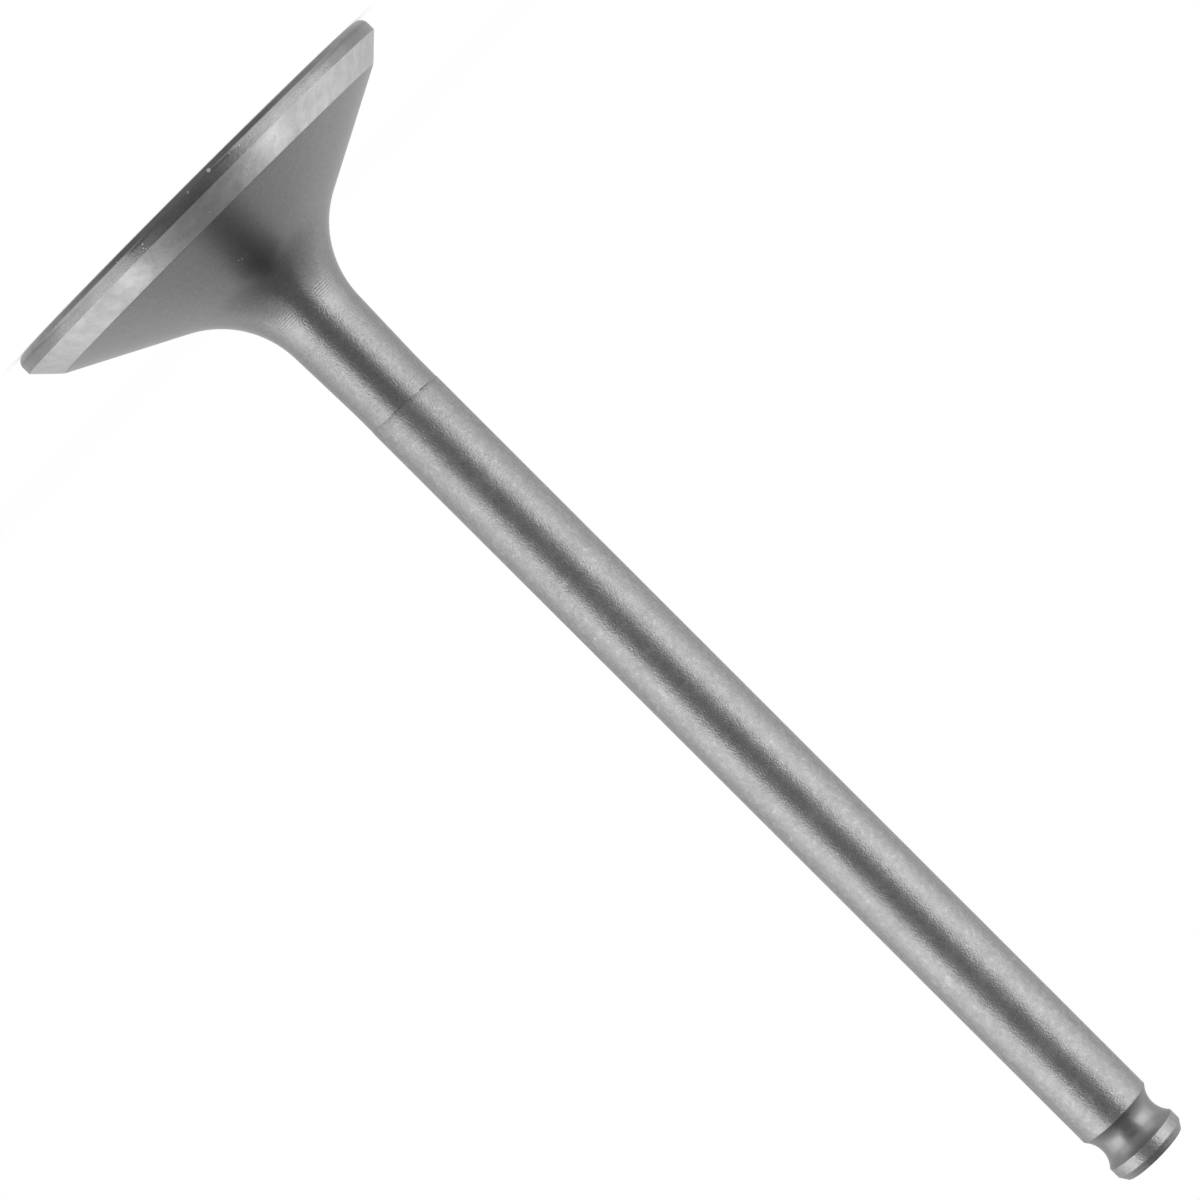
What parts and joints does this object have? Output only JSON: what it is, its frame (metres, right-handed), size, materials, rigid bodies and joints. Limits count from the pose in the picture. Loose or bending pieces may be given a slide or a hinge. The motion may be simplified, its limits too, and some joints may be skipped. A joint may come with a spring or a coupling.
{
  "type": "engine valve",
  "caption": "Poppet valve for an engine: round head with a tapered sealing face, swept neck, ground stem and a keeper groove under a chamfered tip.",
  "frame": {"origin": "centre of the flat combustion face, which the valve stands on", "axes": "+Z runs along the stem from the combustion face to the tip; the valve is round about Z, so X and Y are free"},
  "size_m": [0.045, 0.045, 0.1273],
  "materials": {
    "valve_steel": "ground and turned bare steel, satin, neutral grey"
  },
  "bodies": {
    "root": {"valve": "valve_steel"}
  },
  "joints": []
}
